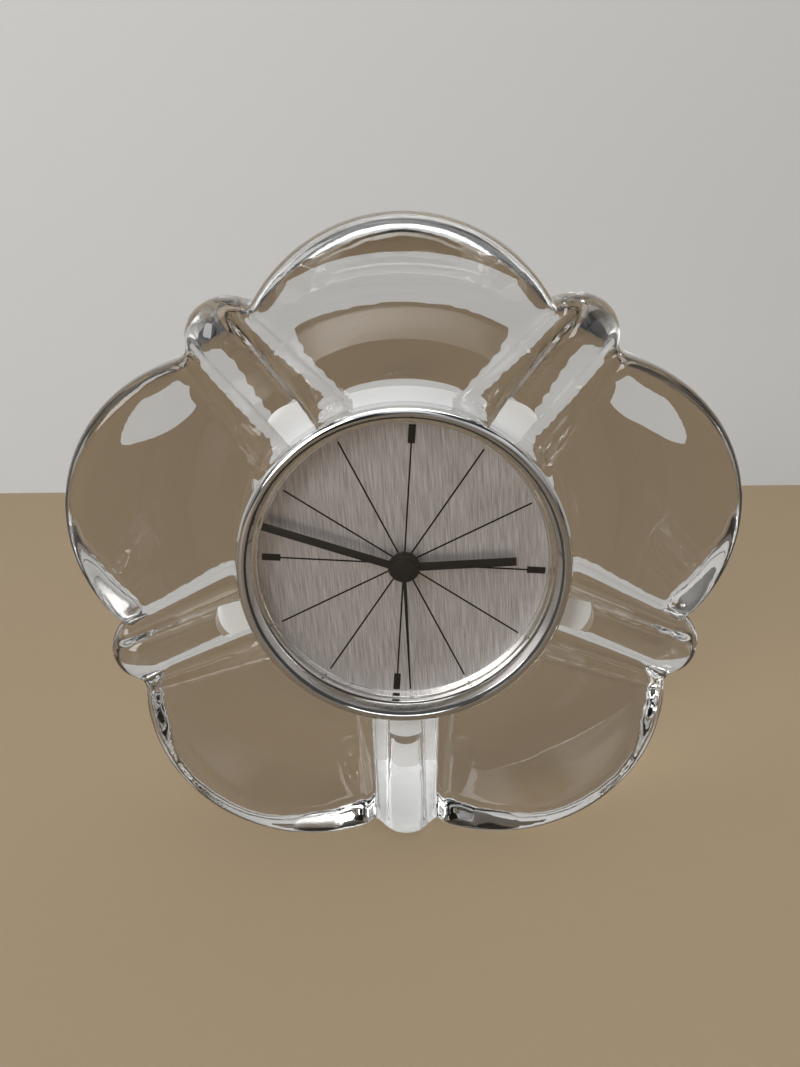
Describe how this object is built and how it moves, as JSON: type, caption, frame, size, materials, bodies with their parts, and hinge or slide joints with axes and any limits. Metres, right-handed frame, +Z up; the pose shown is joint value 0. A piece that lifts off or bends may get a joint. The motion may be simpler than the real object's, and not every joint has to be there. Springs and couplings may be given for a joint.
{
  "type": "table clock",
  "caption": "Clear crystal flower holding a round quartz clock insert with a brushed dial, polished bezel and black hands; the insert pulls out for setting and a new battery.",
  "frame": {"origin": "on the table under the dial's axis, at the middle of the crystal's depth", "axes": "-Y towards the viewer of the dial, +X to that viewer's right, +Z up; the dial's axis lies along Y"},
  "size_m": [0.1378, 0.0366, 0.1349],
  "materials": {
    "crystal": "clear polished crystal",
    "polished_metal": "mirror polished",
    "window_glass": "clear flat mineral glass",
    "seal_rubber": "matt",
    "dial_metal": "vertically brushed",
    "black_print": "printed ink",
    "hand_black": "matt black",
    "case_metal": "satin",
    "train_plastic": "moulded",
    "plate_plastic": "moulded",
    "soft_iron": "stamped",
    "rotor_black": "sintered magnet",
    "bobbin_plastic": "moulded",
    "copper_wire": "enamelled copper wire",
    "board_laminate": "lacquered",
    "chip_resin": "moulded",
    "can_metal": "drawn",
    "battery_jacket": "plain jacket",
    "spring_metal": "nickel-plated",
    "screw_steel": "plated",
    "back_plastic": "moulded"
  },
  "bodies": {
    "crystal": {"crystal_body": "crystal"},
    "insert": {"bezel": "polished_metal", "glass_gasket": "seal_rubber", "clock_glass": "window_glass", "reflector_ring": "polished_metal", "dial": "dial_metal", "dial_bars": "black_print", "dial_lines": "black_print", "case_cup": "case_metal", "bore_gasket": "seal_rubber", "front_plate": "plate_plastic", "back_plate": "plate_plastic", "plate_screws": "screw_steel", "case_screws": "screw_steel", "stator": "soft_iron", "coil_bobbin": "bobbin_plastic", "coil_winding": "copper_wire", "circuit_board": "board_laminate", "clock_chip": "chip_resin", "quartz_can": "can_metal", "battery": "battery_jacket", "battery_tray": "plate_plastic", "contact_plus": "spring_metal", "contact_minus": "spring_metal"},
    "minute_group": {"minute_hand": "hand_black", "cannon_pinion": "train_plastic"},
    "hour_group": {"hour_hand": "hand_black", "hour_wheel": "train_plastic"},
    "second_group": {"second_hand": "hand_black", "seconds_wheel": "train_plastic"},
    "motion_group": {"motion_wheel": "train_plastic"},
    "knob_group": {"set_knob": "back_plastic"},
    "centre_group": {"centre_wheel": "train_plastic"},
    "third_group": {"third_wheel": "train_plastic"},
    "intermediate_group": {"intermediate_wheel": "train_plastic"},
    "rotor_group": {"rotor_pinion": "train_plastic", "rotor_magnet": "rotor_black"},
    "cover_group": {"battery_cover": "back_plastic"}
  },
  "joints": [
    {"name": "insert_slide", "type": "slide", "parent": "crystal", "child": "insert", "axis": [0, -1, 0], "range_m": [0, 0.03]},
    {"name": "minute_hand_turn", "type": "hinge", "parent": "insert", "child": "minute_group", "pos_m": [0, 0, 0.0642], "axis": [0, 1, 0], "continuous": true},
    {"name": "hour_hand_turn", "type": "hinge", "parent": "insert", "child": "hour_group", "pos_m": [0, 0, 0.0642], "axis": [0, 1, 0], "continuous": true},
    {"name": "motion_wheel_turn", "type": "hinge", "parent": "insert", "child": "motion_group", "pos_m": [0.00038, 0, 0.07019], "axis": [0, 1, 0], "continuous": true},
    {"name": "set_knob_turn", "type": "hinge", "parent": "insert", "child": "knob_group", "pos_m": [0.00076, 0, 0.07618], "axis": [0, 1, 0], "continuous": true},
    {"name": "second_hand_turn", "type": "hinge", "parent": "insert", "child": "second_group", "pos_m": [0, 0, 0.0642], "axis": [0, 1, 0], "continuous": true},
    {"name": "intermediate_wheel_turn", "type": "hinge", "parent": "insert", "child": "intermediate_group", "pos_m": [-0.00801, 0, 0.06771], "axis": [0, 1, 0], "continuous": true},
    {"name": "rotor_turn", "type": "hinge", "parent": "insert", "child": "rotor_group", "pos_m": [-0.01521, 0, 0.0656], "axis": [0, 1, 0], "continuous": true},
    {"name": "third_wheel_turn", "type": "hinge", "parent": "insert", "child": "third_group", "pos_m": [0.00805, 0, 0.06148], "axis": [0, 1, 0], "continuous": true},
    {"name": "centre_wheel_turn", "type": "hinge", "parent": "insert", "child": "centre_group", "pos_m": [0, 0, 0.0642], "axis": [0, 1, 0], "continuous": true},
    {"name": "battery_cover_slide", "type": "slide", "parent": "insert", "child": "cover_group", "axis": [0, 1, 0], "range_m": [0, 0.02]}
  ],
  "couplings": [
    {"joint": "hour_hand_turn", "follows": "minute_hand_turn", "ratio": 0.083333},
    {"joint": "motion_wheel_turn", "follows": "minute_hand_turn", "ratio": -0.33333},
    {"joint": "set_knob_turn", "follows": "minute_hand_turn", "ratio": 1},
    {"joint": "intermediate_wheel_turn", "follows": "second_hand_turn", "ratio": -6},
    {"joint": "rotor_turn", "follows": "second_hand_turn", "ratio": 30},
    {"joint": "third_wheel_turn", "follows": "second_hand_turn", "ratio": -0.13333},
    {"joint": "centre_wheel_turn", "follows": "second_hand_turn", "ratio": 0.016667}
  ]
}
